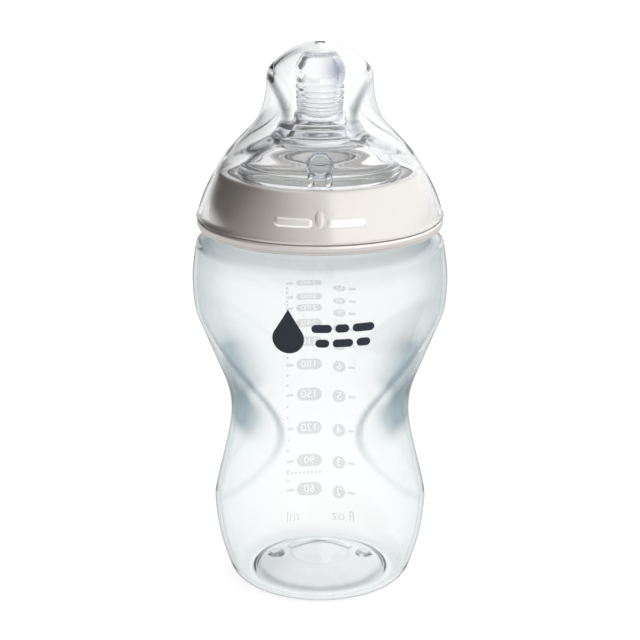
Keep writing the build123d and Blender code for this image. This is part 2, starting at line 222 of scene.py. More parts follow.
def new_object(name, vertices, faces, material):
    """A smooth-shaded piece from points in millimetres, with its faces turned outwards."""
    mesh = bpy.data.meshes.new(name)
    mesh.from_pydata([tuple(v * MM for v in p) for p in vertices], [], faces)
    working = bmesh.new()
    working.from_mesh(mesh)
    bmesh.ops.recalc_face_normals(working, faces=working.faces)
    working.to_mesh(mesh)
    working.free()
    mesh.polygons.foreach_set("use_smooth", [True] * len(mesh.polygons))
    mesh.materials.append(material)
    piece = bpy.data.objects.new(name, mesh)
    bpy.context.scene.collection.objects.link(piece)
    return piece


def lathe(name, outline, material, shape=None, loop=False, segments=SEGMENTS, **shade_layers):
    """Turns an outline of (radius, height, inset) rings about the centre line. shape may change
    each ring's radius with the angle. A looped outline closes on itself, any other ends on the axis.
    The shade layers give how deep each ring's painted shade is, from 0 to 1."""
    rings = np.array([tuple(p) + (0,) * (3 - len(p)) for p in outline], float)
    theta = np.arange(segments) * tau / segments
    radius = rings[:, :1] * np.ones(segments)
    if shape is not None:
        radius = shape(theta[None, :], rings[:, 1:2], radius, rings[:, 2:3])
    body = rings if loop else rings[1:-1]
    keep = slice(None) if loop else slice(1, -1)
    x, y = radius[keep] * np.cos(theta), radius[keep] * np.sin(theta)
    z = body[:, 1:2] * np.ones(segments)
    vertices = np.stack([x, y, z], axis=-1).reshape(-1, 3).tolist()
    count, faces = len(body), []
    for i in range(count if loop else count - 1):
        low, high = i * segments, (i + 1) % count * segments
        for j in range(segments):
            k = (j + 1) % segments
            faces.append((low + j, low + k, high + k, high + j))
    if not loop:
        for ring, height in ((0, rings[0, 1]), (count - 1, rings[-1, 1])):
            vertices.append((0, 0, height))
            pole = len(vertices) - 1
            first = ring * segments
            faces += [(first + j, first + (j + 1) % segments, pole) for j in range(segments)]
    piece = new_object(name, vertices, faces, material)
    # Each layer holds painted shade, written per point for the material to read
    for layer_name, tint_and_shade in shade_layers.items():
        depth = tint_and_shade(theta[None, :], body[:, 1:2], body[:, :1], body[:, 2:3]).ravel().tolist()
        layer = piece.data.attributes.new(layer_name, "FLOAT", "POINT")
        layer.data.foreach_set("value", depth + [0.0] * (len(vertices) - len(depth)))
    return piece


def slot_ring(length, width, inset=0, steps=16):
    """Points round a slot, drawn in by inset."""
    radius, reach = width / 2 - inset, (length - width) / 2
    right = [(reach + radius * cos(a), radius * sin(a)) for a in np.linspace(-pi / 2, pi / 2, steps)]
    return right + [(-u, -v) for u, v in right]


def densely(ring, step=0.8):
    """The ring with its long straight runs divided."""
    points = []
    for (u, v), after in zip(ring, ring[1:] + ring[:1]):
        run, rise = after[0] - u, after[1] - v
        count = max(1, round(np.hypot(run, rise) / step))
        points += [(u + run * i / count, v + rise * i / count) for i in range(count)]
    return points


def ellipse_ring(length, width, inset=0, steps=40):
    """Points round an ellipse, drawn in by inset."""
    half_length, half_width = length / 2 - inset, width / 2 - inset
    return [(half_length * cos(a), half_width * sin(a)) for a in np.arange(steps) * tau / steps]


def raised_mark(name, ring, profile, place, material):
    """A raised mark: rings drawn in by each (inset, height) of the profile, with a flat last one.
    place turns (u, v, height) into a point."""
    rings = [[place(u, v, height) for u, v in ring(inset)] for inset, height in profile]
    count = len(rings[0])
    faces = [tuple(range(count))[::-1], tuple(range((len(rings) - 1) * count, len(rings) * count))]
    for i in range(len(rings) - 1):
        for j in range(count):
            k = (j + 1) % count
            faces.append((i * count + j, i * count + k, (i + 1) * count + k, (i + 1) * count + j))
    return new_object(name, [p for ring_points in rings for p in ring_points], faces, material)


# ---------------------------------------------------------------- materials


def new_material(name):
    """A material, with its nodes, links, main shader and output."""
    material = bpy.data.materials.new(name)
    material.use_nodes = True
    nodes, links = material.node_tree.nodes, material.node_tree.links
    return material, nodes, links, nodes["Principled BSDF"], nodes["Material Output"]


def set_inputs(node, **values):
    """Sets a node's inputs by name, with _ for each space."""
    for socket, value in values.items():
        node.inputs[socket.replace("_", " ")].default_value = value


def math_node(nodes, operation):
    node = nodes.new("ShaderNodeMath")
    node.operation = operation
    return node


def colour_mix(nodes, blend="MIX"):
    node = nodes.new("ShaderNodeMix")
    node.data_type, node.blend_type = "RGBA", blend
    return node


def step_node(nodes, low, high):
    """Rises smoothly from 0 to 1 as its value goes from low to high."""
    node = nodes.new("ShaderNodeMapRange")
    node.interpolation_type = "SMOOTHSTEP"
    set_inputs(node, From_Min=low, From_Max=high)
    return node


def fill_ramp(ramp, stops):
    """Puts (place, colour) stops on a colour ramp; a single number stands for a grey."""
    while len(ramp.elements) < len(stops):
        ramp.elements.new(0.5)
    for element, (place, colour) in zip(ramp.elements, stops):
        element.position = place
        element.color = (*colour, 1) if isinstance(colour, tuple) else (colour, colour, colour, 1)


def surface_grain(nodes, links, shader, scale, strength, distance):
    """A noise bump, for the slight unevenness of a moulded surface. Scale is per metre."""
    place = nodes.new("ShaderNodeTexCoord")
    noise = nodes.new("ShaderNodeTexNoise")
    set_inputs(noise, Scale=scale, Detail=3)
    bump = nodes.new("ShaderNodeBump")
    set_inputs(bump, Strength=strength, Distance=distance)
    links.new(place.outputs["Object"], noise.inputs["Vector"])
    links.new(noise.outputs["Fac"], bump.inputs["Height"])
    links.new(bump.outputs["Normal"], shader.inputs["Normal"])
    return noise


def mottling(nodes, links, shader, noise, dark, light):
    """Colours the shader between dark and light by the noise of its grain."""
    shade = nodes.new("ShaderNodeValToRGB")
    fill_ramp(shade.color_ramp, [(0, dark), (1, light)])
    links.new(noise.outputs["Fac"], shade.inputs["Fac"])
    links.new(shade.outputs["Color"], shader.inputs["Base Color"])


def clear_material(name, ior, roughness, tint_and_shade, tint_density, edge_shade_stops, stain, grain):
    """A see-through moulding, with a tint that builds up with the depth of material. Its skin
    takes painted shade: it darkens by a ramp as it turns edge-on, and towards a shade colour by two
    attributes of the piece, one from every side and one where it is seen edge-on."""
    material, nodes, links, shader, output = new_material(name)
    set_inputs(shader, Base_Color=(1, 1, 1, 1), Roughness=roughness, IOR=ior, Transmission_Weight=1.0)
    surface_grain(nodes, links, shader, *grain)
    # Painted shade: the base colour darkens edge-on and by the piece's two shade attributes
    slant = nodes.new("ShaderNodeLayerWeight")
    set_inputs(slant, Blend=0.5)
    edge = nodes.new("ShaderNodeValToRGB")
    fill_ramp(edge.color_ramp, edge_shade_stops)
    edge_on = step_node(nodes, *EDGE_ON)
    layer, edge_layer = nodes.new("ShaderNodeAttribute"), nodes.new("ShaderNodeAttribute")
    layer.attribute_name, edge_layer.attribute_name = "stain", "edge_stain"
    depth = math_node(nodes, "MULTIPLY_ADD")
    depth.use_clamp = True
    shaded = colour_mix(nodes, "MULTIPLY")
    set_inputs(shaded, B=(*stain, 1))
    links.new(slant.outputs["Facing"], edge.inputs["Fac"])
    links.new(slant.outputs["Facing"], edge_on.inputs["Value"])
    links.new(edge_layer.outputs["Fac"], depth.inputs[0])
    links.new(edge_on.outputs["Result"], depth.inputs[1])
    links.new(layer.outputs["Fac"], depth.inputs[2])
    links.new(depth.outputs["Value"], shaded.inputs["Factor"])
    links.new(edge.outputs["Color"], shaded.inputs["A"])
    links.new(shaded.outputs["Result"], shader.inputs["Base Color"])
    tinted = nodes.new("ShaderNodeVolumeAbsorption")
    set_inputs(tinted, Color=(*tint_and_shade, 1), Density=tint_density)
    links.new(tinted.outputs["Volume"], output.inputs["Volume"])
    return material


def collar_material(name, sheen, dark, light, glow=0):
    """Glossy, slightly pearly off-white polypropylene, with a faint mottling. A mark made of it may
    be given a faint glow, a painted highlight."""
    material, nodes, links, shader, _ = new_material(name)
    set_inputs(shader, Roughness=0.2, IOR=1.5, Metallic=sheen, Coat_Weight=0.4, Coat_Roughness=0.06,
               Emission_Color=(1, 0.96, 0.90, 1), Emission_Strength=glow)
    noise = surface_grain(nodes, links, shader, 900, 0.08, 0.00003)
    mottling(nodes, links, shader, noise, dark, light)
    return material


def ink_material(name, dark, light, cover=1.0):
    """Printed ink: matte, with a slight unevenness, and see-through where its cover is thin."""
    material, nodes, links, shader, _ = new_material(name)
    set_inputs(shader, Roughness=0.5, Alpha=cover)
    noise = surface_grain(nodes, links, shader, 2500, 0.1, 0.00002)
    mottling(nodes, links, shader, noise, dark, light)
    return material


body_plastic = clear_material(
    "body_clear", ior=1.49, roughness=0.02, tint_and_shade=(0.86, 0.93, 0.94), tint_density=40,
    edge_shade_stops=[(0.05, (0.985, 0.99, 0.989)), (0.3, (0.95, 0.963, 0.962)), (0.6, (0.90, 0.93, 0.935)),
                (0.78, (0.855, 0.895, 0.90)), (0.87, (0.42, 0.51, 0.54)), (1.0, (0.08, 0.13, 0.15))],
    stain=(0.13, 0.21, 0.25), grain=(45, 0.15, 0.0002))
cap_plastic = clear_material(
    "cap_clear", ior=1.49, roughness=0.01, tint_and_shade=(0.90, 0.93, 0.95), tint_density=40,
    edge_shade_stops=[(0.3, (1, 1, 1)), (0.75, (0.93, 0.945, 0.955)), (0.88, (0.72, 0.75, 0.77)),
                (1.0, (0.25, 0.28, 0.30))],
    stain=(0.22, 0.24, 0.25), grain=(60, 0.12, 0.0002))
silicone = clear_material(
    "silicone_clear", ior=1.41, roughness=0.03, tint_and_shade=(0.90, 0.91, 0.95), tint_density=40,
    edge_shade_stops=[(0.4, (1, 1, 1)), (0.8, (0.83, 0.845, 0.88)), (1.0, (0.22, 0.24, 0.30))],
    stain=(0.30, 0.32, 0.44), grain=(120, 0.12, 0.0002))
collar_plastic = collar_material("collar_gloss", 0.65, (0.90, 0.85, 0.805), (0.95, 0.91, 0.87))
# The bars' copy of the collar plastic: lighter, more metallic and faintly glowing, a painted highlight.
highlighted_mark_plastic = collar_material(
    "collar_mark_gloss", 0.8, (0.985, 0.965, 0.93), (1.0, 0.985, 0.955), glow=0.08)
slit_shade = ink_material("slit_shade", (0.10, 0.11, 0.14), (0.16, 0.17, 0.20))
scale_ink = ink_material("scale_ink", (0.40, 0.41, 0.42), (0.48, 0.49, 0.50), cover=0.28)
motif_ink = ink_material("motif_ink", (0.012, 0.020, 0.034), (0.020, 0.030, 0.048))


# ---------------------------------------------------------------- container

barrel = smooth_curve(BARREL_POINTS)
grip = smooth_curve(GRIP_POINTS)


def body_radius(theta, height, radius, inset):
    """The container's radius: a barrel cut by its two grips, with the thread round the neck."""
    blend = np.where(inset > 0, RIDGE_BLEND_INSIDE, RIDGE_BLEND)
    skin = soft_min(radius, grip_distance(theta, grip(height) - inset, GRIP_OFFSET), blend)
    on_neck = (inset == 0) & (np.abs(radius - NECK) < 0.01)
    return skin + on_neck * THREAD_DEPTH * thread_bump(theta, height, THREAD_START)


def near(value, centre, spread, strength=1):
    """The full strength at the centre, falling away smoothly either side."""
    return strength * np.exp(-((value - centre) / spread) ** 2)


def body_grip_depth(theta, height, radius, inset):
    """How deep a grip is cut into the barrel: 0 along the grip's edge."""
    return radius - grip_distance(theta, grip(height) - inset, GRIP_OFFSET)


def body_stain(theta, height, radius, inset):
    """Painted shade, darkest round the foot of the shoulder and, more at the front than at the back,
    along the edges of each grip and round the standing ring, and a little towards the top."""
    depth = body_grip_depth(theta, height, radius, inset)
    front = np.clip(0.55 - np.sin(theta), 0.1, 1)
    foot_front = np.clip(0.2 - 1.5 * np.sin(theta), 0, 1)
    upper_edge = near(height, *UPPER_EDGE_BAND) * front * near(depth, *UPPER_EDGE_LINE)
    lower_edge = near(height, *LOWER_EDGE_BAND) * front * near(depth, *LOWER_EDGE_LINE)
    shoulder = near(height, *SHOULDER_BAND) + near(height, *UNDER_SHOULDER_BAND)
    foot = near(radius, *FOOT_BAND) * (height < 5) * foot_front
    disc = near(radius, *DISC_BAND) * (height < 8)
    # Painted shade rising a little towards the top of the wall
    wall = WALL_SHADE * np.clip((height - WALL_SHADE_FROM) / WALL_SHADE_RISE, 0, 1)
    return np.clip(upper_edge + lower_edge + shoulder + foot + disc + wall, 0, 1)


def body_edge_stain(theta, height, radius, inset):
    """Painted shade where the wall is seen edge-on: deepest in the upper half of each grip, and deeper
    above it.
    """
    depth = body_grip_depth(theta, height, radius, inset)
    start, within = np.clip((height - IN_GRIP_FROM) / 5, 0, 1), np.clip(depth / 4 - 0.1, 0, 1)
    in_grip = near(height, *IN_GRIP_BAND) * start * within
    return np.clip(in_grip, 0, 1) + near(height, *ABOVE_GRIP_BAND)


def container_outline():
    """From the middle of the base, out and up the outside, over the rim and down the inside."""
    side = np.linspace(BARREL_POINTS[0][1], BARREL_POINTS[-1][1], 96)
    corner_centre = (FOOT_OUTER, CORNER_RADIUS)
    turn = (-pi / 2, -pi / 2 + CORNER_TURN)
    disc_inner, disc_outer = GATE_DISC - GATE_SLOPE, GATE_DISC + GATE_RISE + GATE_SLOPE

    def skin(inset):
        floor = BASE_RECESS + inset
        dome_height = floor + BASE_DOME
        disc = dome_height + (GATE_RISE if inset == 0 else GATE_RISE_INSIDE)
        base = rounded(
            (0, disc), (disc_inner, disc, 1.3), (disc_outer, dome_height, 1.3),
            (RECESS_RADIUS - inset, floor, 1.6), (FOOT_INNER + inset / 2, inset, 0.5),
            (FOOT_OUTER, inset))
        base += arc(corner_centre, CORNER_RADIUS - inset, *turn, 12)[1:]
        wall = [(barrel(z) - inset, z) for z in side[1:]]
        return base + wall

    top_radius, top_height = BARREL_POINTS[-1]
    neck_rings = [(NECK, z) for z in np.linspace(NECK_BASE + 1.2, RIM - 0.6, 60)]
    outer = skin(0) + rounded(
        (top_radius, top_height), (SHOULDER_EDGE[0], SHOULDER_EDGE[1], 0.9), (*SHOULDER_FOOT, 1.4),
        (NECK, NECK_BASE, 0.9), neck_rings[0])[1:] + neck_rings[1:]
    rim = rounded((NECK, RIM - 1), (NECK, RIM, 0.4), (NECK_BORE, RIM, 0.4), (NECK_BORE, RIM - 1))[1:]
    inner_top = (top_radius - WALL, top_height)
    inner = skin(WALL) + rounded(
        inner_top, (SHOULDER_EDGE[0] - WALL, SHOULDER_EDGE[1] - 0.5, 0.9),
        (SHOULDER_FOOT[0] - WALL, SHOULDER_FOOT[1] - 1.1, 1.0), (NECK_BORE, NECK_BASE - 1.0, 0.9),
        (NECK_BORE, NECK_BASE + 1.5))[1:]
    return [(*p, 0) for p in outer] + [(*p, WALL) for p in rim + inner[::-1]]


bottle = lathe("bottle_shell", container_outline(), body_plastic, body_radius,
               stain=body_stain, edge_stain=body_edge_stain)
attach(bottle, "bottle")
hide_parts("bottle_body")


def add_base_leaves():
    """Two leaf-shaped pads moulded on the inside of the floor."""
    floor = BASE_RECESS + WALL
    for name, side in (("base_leaf_left", -1), ("base_leaf_right", 1)):
        pad = raised_mark(name, lambda inset: ellipse_ring(LEAF_LENGTH, LEAF_WIDTH, inset),
                          [(0, 0.2), (0, 0.6), (0.3, 0.9), (0.9, 1.1)],
                          lambda u, v, height: (side * LEAF_ACROSS + u, LEAF_BACK + v, floor + height),
                          body_plastic)
        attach(pad, "bottle")


add_base_leaves()


# ---------------------------------------------------------------- collar

cone = smooth_curve(CONE_POINTS)


def collar_radius(theta, height, radius, inset):
    """The collar is round but for the screw ridge inside its skirt, whose rings carry an inset of 1."""
    return radius - inset * THREAD_DEPTH * thread_bump(theta, height, THREAD_START + PITCH / 2)


def collar_outline():
    """Up the cone, over the top plate, down the threaded skirt, and round the hollow underside."""
    heights = np.linspace(LIP_TOP, CONE_POINTS[-1][1], 24)
    outer = [(float(cone(z)), z) for z in heights]
    thread_heights = np.linspace(COLLAR_TOP - PLATE - 0.4, SKIRT_BOTTOM + 0.6, 60)
    skirt = [(SKIRT_RADIUS, z, 1) for z in thread_heights]
    top = rounded(outer[-1], (outer[-1][0] - 0.5, COLLAR_TOP, 0.6), (OPENING, COLLAR_TOP, 0.35),
                  (OPENING, COLLAR_TOP - PLATE, 0.25), (SKIRT_RADIUS, COLLAR_TOP - PLATE, 0.3),
                  skirt[0][:2])[1:-1]
    gap_outer = SKIRT_RADIUS + COLLAR_WALL
    under = rounded(skirt[-1][:2], (SKIRT_RADIUS, SKIRT_BOTTOM, 0.3), (gap_outer, SKIRT_BOTTOM, 0.3),
                    (gap_outer, WEB_TOP, 0.3), (gap_outer + 0.9, WEB_TOP, 0.3),
                    (CONE_POINTS[1][0] - COLLAR_WALL, CONE_POINTS[1][1]),
                    (CONE_POINTS[0][0] - COLLAR_WALL, LIP_TOP, 0.5),
                    (LIP_RADIUS - COLLAR_WALL, LIP_TOP - COLLAR_WALL, 0.4),
                    (LIP_RADIUS - COLLAR_WALL, LIP_BOTTOM, 0.2),
                    (LIP_RADIUS - 2 * LIP_STEP, LIP_BOTTOM, 0.25),
                    (LIP_RADIUS - LIP_STEP, LIP_BOTTOM + LIP_STEP, 0.2),
                    (LIP_RADIUS - LIP_STEP, LIP_BOTTOM + 2 * LIP_STEP, 0.15),
                    (LIP_RADIUS, LIP_BOTTOM + 3 * LIP_STEP, 0.4), (LIP_RADIUS, LIP_TOP, 1.2),
                    outer[0])[1:-1]
    return outer + top + skirt + under


collar = lathe("collar_shell", collar_outline(), collar_plastic, collar_radius, loop=True)
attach(collar, "collar")
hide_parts("screw_collar")


def on_cone(u, v, height, centre):
    """A point on the front of the collar's cone, lifted by height."""
    x, z = centre[0] + u, centre[1] + v
    return x, -sqrt((float(cone(z)) + height) ** 2 - x ** 2), z


def add_collar_marks():
    """Two raised bars with a leaf-shaped pointer between them."""
    profile = [(0, -0.3), (0, 0.0), (0.25, 0.14), (0.6, 0.25), (0.95, MARK_RELIEF - 0.02),
               (1.3, MARK_RELIEF)]
    bar = (slot_ring, (MARK_LENGTH, MARK_WIDTH), highlighted_mark_plastic)
    pointer = (ellipse_ring, (POINTER_WIDTH, POINTER_HEIGHT), collar_plastic)
    marks = [("collar_bar_left", (-MARK_CENTRE, MARK_HEIGHT), *bar),
             ("collar_bar_right", (MARK_CENTRE, MARK_HEIGHT), *bar),
             ("collar_pointer", (0, POINTER_CENTRE), *pointer)]
    for name, centre, ring, size, material in marks:
        mark = raised_mark(name, lambda inset: densely(ring(*size, inset)), profile,
                           lambda u, v, height: on_cone(u, v, height, centre), material)
        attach(mark, "collar")


def add_collar_webs():
    """The stiffening webs under the collar, between its cone and its threaded skirt."""
    vertices, faces, count = [], [], len(WEB_OUTLINE)
    for web in range(WEB_COUNT):
        angle = web * tau / WEB_COUNT
        along, aside = (cos(angle), sin(angle)), (-sin(angle), cos(angle))
        start = len(vertices)
        for side in (-WEB_THICKNESS / 2, WEB_THICKNESS / 2):
            vertices += [(r * along[0] + side * aside[0], r * along[1] + side * aside[1], z)
                         for r, z in WEB_OUTLINE]
        faces.append(tuple(range(start, start + count)))
        faces.append(tuple(range(start + count, start + 2 * count))[::-1])
        for i in range(count):
            k = (i + 1) % count
            faces.append((start + i, start + k, start + count + k, start + count + i))
    webs = new_object("collar_webs", vertices, faces, collar_plastic)
    webs.data.polygons.foreach_set("use_smooth", [False] * len(webs.data.polygons))
    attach(webs, "collar")


add_collar_marks()
add_collar_webs()


# ---------------------------------------------------------------- teat

dome = smooth_curve(DOME_POINTS)


def teat_outline():
    """From the flange up over the dome, terraces, ribs and bulb to the feed hole, and down inside."""
    dome_heights = np.linspace(DOME_POINTS[0][1], DOME_POINTS[-1][1], 40)
    outer = [(float(dome(z)), z) for z in dome_heights] + rounded(*TERRACES)[1:-1]
    foot = rounded(
        (DOME_FOOT, RIM - SEAL_DEPTH + 0.5), (DOME_FOOT, RIM - SEAL_DEPTH, 0.3),
        (SEAL_RADIUS - 0.4, RIM - SEAL_DEPTH, 0.3), (SEAL_RADIUS, RIM - 0.9, 0.3),
        (SEAL_RADIUS, RIM, 0.2), (FLANGE, RIM, 0.3), (FLANGE, RIM + FLANGE_THICK, 0.3),
        (SEAT_RADIUS, RIM + FLANGE_THICK, 0.2), (SEAT_RADIUS, SEAT_TOP, 0.5),
        (LEDGE_RADIUS, SEAT_TOP + 0.3, 0.4), (LEDGE_RADIUS - 0.1, LEDGE_HEIGHT, 0.45),
        (DOME_POINTS[0][0], LEDGE_HEIGHT, 0.2), outer[0])
    pitch = (RIB_TOP - RIB_BOTTOM) * (RIB_GROWTH - 1) / (RIB_GROWTH ** RIB_COUNT - 1)
    ribs, low = [], RIB_BOTTOM
    for _ in range(RIB_COUNT):
        for t in np.linspace(0, 1, 12, endpoint=False):
            ribs.append((RIB_ROOT + (RIB_CREST - RIB_ROOT) * abs(sin(pi * t)) ** 0.8, low + pitch * t))
        low += pitch
        pitch *= RIB_GROWTH
    bulb_curve, inner_curve = smooth_curve(BULB_POINTS), smooth_curve(TEAT_INSIDE_POINTS)
    bulb = [(float(bulb_curve(z)), z) for z in np.linspace(RIB_TOP, BULB_POINTS[-1][1], 20)]
    tip = rounded(bulb[-1], (TIP_FLAT, TIP_HEIGHT, 0.8), (FEED_HOLE, TIP_HEIGHT, 0.15),
                  (FEED_HOLE, TIP_HEIGHT - 1))[1:]
    inner_heights = np.linspace(TEAT_INSIDE_POINTS[-1][1], TEAT_INSIDE_POINTS[0][1], 70)
    inner = [(float(inner_curve(z)), z) for z in inner_heights]
    inside = rounded((FEED_HOLE, TIP_HEIGHT - 1), (FEED_HOLE, TIP_INSIDE, 0.2),
                     (TIP_FLAT - 1, TIP_INSIDE, 0.4), inner[0])[1:-1] + inner + TEAT_INSIDE_FOOT
    return foot + outer[1:] + ribs + bulb[1:] + tip + inside


def teat_stain(theta, height, radius, inset):
    """Painted shade: darker in the grooves between the ribs, on the terraces and down one side of
    the bulb."""
    outside = radius > RIB_ROOT - 0.05
    on_ribs = np.abs(height - (RIB_BOTTOM + RIB_TOP) / 2) < 5
    groove = on_ribs * np.clip((RIB_ROOT + 0.3 - radius) / 0.3, 0, 1)
    bulb = near(height, *BULB_BAND) * np.clip(np.cos(theta + BULB_SIDE), 0, 1) ** 2.5
    on_terrace = np.abs(radius - TERRACE_MIDDLE[0]) < TERRACE_REACH[0]
    steps = TERRACE_SHADE * (np.abs(height - TERRACE_MIDDLE[1]) < TERRACE_REACH[1]) * on_terrace
    return np.clip(outside * GROOVE_SHADE * groove + bulb + steps * np.ones_like(theta), 0, 1)


teat = lathe("teat_skin", teat_outline(), silicone, loop=True, stain=teat_stain)
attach(teat, "teat")
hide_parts("teat")


def valve_stain(theta, height, radius, inset):
    """Painted shade: the valve's dish a little darker, and its rim and side darker still."""
    near_rim = (radius > DISH_RADIUS) * (height > -VALVE_LENGTH + 0.5)
    return (DISH_SHADE + VALVE_RIM_SHADE * near_rim) * np.ones_like(theta)


def add_valve():
    """The air valve: a short barrel leaning back on the front of the dome, dished, with a slit."""
    face = rounded((0, -VALVE_LENGTH), (VALVE_RADIUS, -VALVE_LENGTH, 0.3), (VALVE_RADIUS, 0, 0.35),
                   (DISH_RADIUS, 0, 0.2), (DISH_RADIUS - 0.3, -DISH_DEPTH, 0.25),
                   (0, -DISH_DEPTH - 0.1))
    pose = Matrix.Translation((0, -VALVE_REACH * MM, VALVE_HEIGHT * MM))
    pose @= Matrix.Rotation(pi / 2 - VALVE_TILT, 4, "X")
    valve = lathe("valve", face, silicone, segments=64, stain=valve_stain)
    slit = raised_mark("valve_slit", lambda inset: slot_ring(SLIT_LENGTH, SLIT_WIDTH, inset, 6),
                       [(0, -DISH_DEPTH - 0.3), (0, -DISH_DEPTH - 0.05), (0.05, -DISH_DEPTH)],
                       lambda u, v, height: (u, v, height), slit_shade)
    pieces = [valve, slit]
    for piece in pieces:
        piece.data.transform(pose)
    for name, side in (("valve_leg_left", -1), ("valve_leg_right", 1)):
        middle = (side * LEG_SPACING / 2, SEAT_TOP + LEG_HEIGHT / 2)
        pieces.append(raised_mark(
            name, lambda inset: slot_ring(LEG_HEIGHT, LEG_WIDTH, inset),
            [(0, LEG_BACK), (0, LEG_FRONT - 0.4), (0.15, LEG_FRONT - 0.1), (0.4, LEG_FRONT)],
            lambda u, v, height: (middle[0] + v, -height, middle[1] + u), silicone))
    for piece in pieces:
        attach(piece, "teat")


add_valve()


# ---------------------------------------------------------------- cap

cap_grip = smooth_curve(CAP_GRIP_POINTS)


def cap_radius(theta, height, radius, inset):
    """The cap's radius: a dome cut by its two grips."""
    blend = np.where(inset > 0, CAP_RIDGE_BLEND_INSIDE, CAP_RIDGE_BLEND)
    return soft_min(radius, grip_distance(theta, cap_grip(height) - inset, CAP_GRIP_OFFSET), blend)


def cap_stain(theta, height, radius, inset):
    """Painted shade, darkest where a grip meets the front or the back."""
    depth = radius - grip_distance(theta, cap_grip(height) - inset, CAP_GRIP_OFFSET)
    front = np.clip(0.6 - np.sin(theta), 0.15, 1)
    bands = near(height, *CAP_CROWN_BAND) + near(height, *CAP_SIDE_BAND)
    return near(depth, *CAP_EDGE_LINE) * front * bands


def cap_outline():
    """From the top of the crown down the outside, round the edge and back up the inside."""

    def skin(inset):
        rim_radius, rim_height = CROWN_RIM - inset * 0.8, CROWN_RIM_HEIGHT - inset * 0.6
        top = CAP_TOP - inset
        rise = top - rim_height
        crown = (rim_radius ** 2 + rise ** 2) / (2 * rise)
        reach = atan2(rim_radius, crown - rise)
        rings = [(crown * sin(a), top - crown * (1 - cos(a))) for a in np.linspace(0, reach, 24)]
        if inset == 0:
            rings = [p for p in rings if p[0] > GATE_MARK + 0.4]
            dimple = rounded((0, top - GATE_MARK_DEPTH), (GATE_MARK - 0.1, top - GATE_MARK_DEPTH, 0.15),
                             (GATE_MARK + 0.1, top - 0.05, 0.15), rings[0])
            rings = dimple[:-1] + rings
        side = np.linspace(rim_height, CAP_POINTS[0][1], 90)[1:]
        curve = smooth_curve([(r - inset, z) for r, z in CAP_POINTS[:-1]] + [(rim_radius, rim_height)])
        return [(r, z, inset) for r, z in rings + [(float(curve(z)), z) for z in side]]

    outer, inner = skin(0), skin(CAP_WALL)
    (outer_radius, low, _), inner_radius = outer[-1], inner[-1][0]
    edge = rounded((outer_radius, low + 1.5), (outer_radius, low + CAP_LIFT, CAP_ROUNDING),
                   (inner_radius, low + CAP_LIFT, CAP_ROUNDING), (inner_radius, low + 1.5))[1:-1]
    return outer[:-2] + [(r, z, 0) for r, z in edge] + inner[-3::-1]


cap = lathe("cap_shell", cap_outline(), cap_plastic, cap_radius, stain=cap_stain)
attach(cap, "cap")
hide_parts("hygienic_cap")


# ---------------------------------------------------------------- print


def letter_loops(text, size):
    """Closed outlines of a line of text about the origin."""
    words = bpy.data.curves.new("words", "FONT")
    words.body, words.size, words.align_x, words.align_y = text, size, "CENTER", "CENTER"
    holder = bpy.data.objects.new("words", words)
    bpy.context.scene.collection.objects.link(holder)
    bpy.context.view_layer.update()
    loops = []
    for spline in holder.to_curve(bpy.context.evaluated_depsgraph_get()).splines:
        points, loop = spline.bezier_points, []
        for here, after in zip(points, [*points[1:], points[0]]):
            loop += interpolate_bezier(here.co, here.handle_right, after.handle_left, after.co, 5)[:-1]
        loops.append([(p.x, p.y) for p in loop])
    holder.to_curve_clear()
    bpy.data.objects.remove(holder)
    return loops


def filled(loops, step=1.0):
    """Flat triangles inside closed loops, less any loop within a loop, with points on a fine grid."""
    points, edges = [], []
    for loop in loops:
        first = len(points)
        points += loop
        edges += [(first + i, first + (i + 1) % len(loop)) for i in range(len(loop))]
    low, high = np.min(points, axis=0), np.max(points, axis=0)
    across, up = (np.arange(low[i] + step / 2, high[i], step) for i in (0, 1))
    points += [(u, v) for u in across for v in up]
    inside_only = 1
    flat, _, triangles, *_ = delaunay_2d_cdt([Vector(p) for p in points], edges, [], inside_only, 1e-5)
    middles = np.array([np.mean([flat[i] for i in face], axis=0) for face in triangles])
    depth = sum(encloses(np.array(loop), middles).astype(int) for loop in loops)
    return [tuple(p) for p in flat], [tuple(face) for face, level in zip(triangles, depth) if level % 2]


def encloses(loop, places):
    """Which places lie inside the loop."""
    crossings = np.zeros(len(places), int)
    for (u0, v0), (u1, v1) in zip(loop, np.roll(loop, -1, axis=0)):
        spans = (v0 > places[:, 1]) != (v1 > places[:, 1])
        with np.errstate(divide="ignore", invalid="ignore"):
            crossings += spans & (places[:, 0] < u0 + (u1 - u0) * (places[:, 1] - v0) / (v1 - v0))
    return crossings % 2 == 1


def on_back_wall(x, z):
    """A point on the outside of the back wall, lifted clear of it."""
    radius = skin_radius = float(barrel(z))
    for _ in range(4):
        y = sqrt((radius + INK_LIFT) ** 2 - x ** 2)
        place = (np.array(value) for value in (atan2(y, x), z, skin_radius, 0.0))
        radius = float(body_radius(*place))
    return x, y, z


def box_ring(length, width):
    """The corners of a box about the origin."""
    u, v = length / 2, width / 2
    return [(-u, -v), (u, -v), (u, v), (-u, v)]


